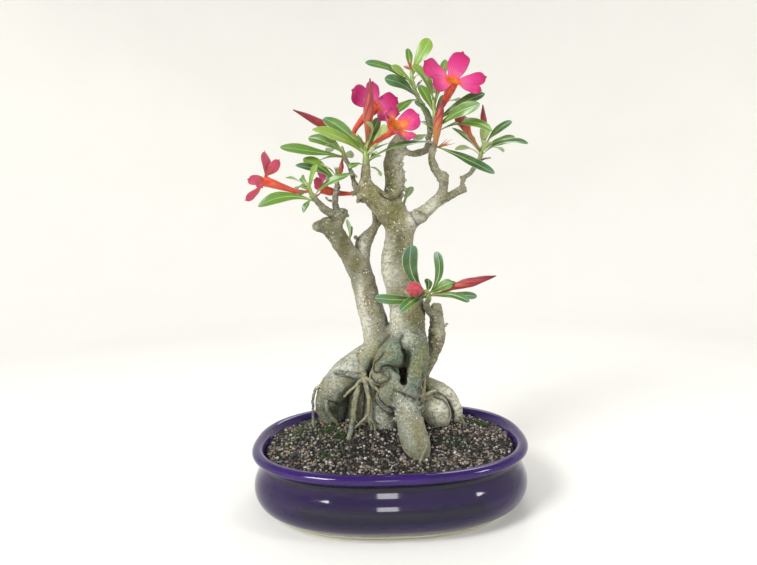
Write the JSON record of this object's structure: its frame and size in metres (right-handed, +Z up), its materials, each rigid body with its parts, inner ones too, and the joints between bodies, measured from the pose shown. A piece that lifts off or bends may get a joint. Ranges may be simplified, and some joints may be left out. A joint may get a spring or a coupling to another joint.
{
  "type": "potted desert rose bonsai",
  "caption": "Flowering desert rose grown as a bonsai, with swollen entwined roots, forked trunks, leafy shoots, blooms and buds, in an oval glazed pot of gritty soil.",
  "frame": {"origin": "middle of the pot's flat base, on the surface it stands on", "axes": "+X to the right along the pot's long side as seen from the front, +Y to the back, +Z up from the base to the top leaf"},
  "size_m": [0.2892, 0.218, 0.4746],
  "materials": {
    "glaze": "deep violet high gloss glaze over a bare clay foot",
    "soil": "coarse dark grit with pale grains",
    "bark": "smooth silvery grey-green bark with fine specks",
    "leaf": "glossy leathery green leaf",
    "petal": "satin hot pink petal",
    "flower_tube": "satin salmon red tube",
    "bud": "satin crimson bud"
  },
  "bodies": {
    "root": {"bloom_back_left_petals": "petal", "bloom_back_left_tube": "flower_tube", "bloom_centre_petals": "petal", "bloom_centre_tube": "flower_tube", "bloom_left_petals": "petal", "bloom_left_tube": "flower_tube", "bloom_middle_petals": "petal", "bloom_middle_tube": "flower_tube", "bloom_top_petals": "petal", "bloom_top_tube": "flower_tube", "bud_far_right": "bud", "bud_left": "bud", "bud_middle": "bud", "bud_right": "bud", "bud_small_left": "bud", "bud_trunk_front": "bud", "bud_trunk_spray": "bud", "bud_upper_right": "bud", "leaves_back_left": "leaf", "leaves_far_right": "leaf", "leaves_fork": "leaf", "leaves_left": "leaf", "leaves_low_left": "leaf", "leaves_middle": "leaf", "leaves_rear": "leaf", "leaves_right": "leaf", "leaves_top": "leaf", "leaves_trunk_spray": "leaf", "pot": "glaze", "soil": "soil", "wood": "bark"}
  },
  "joints": []
}
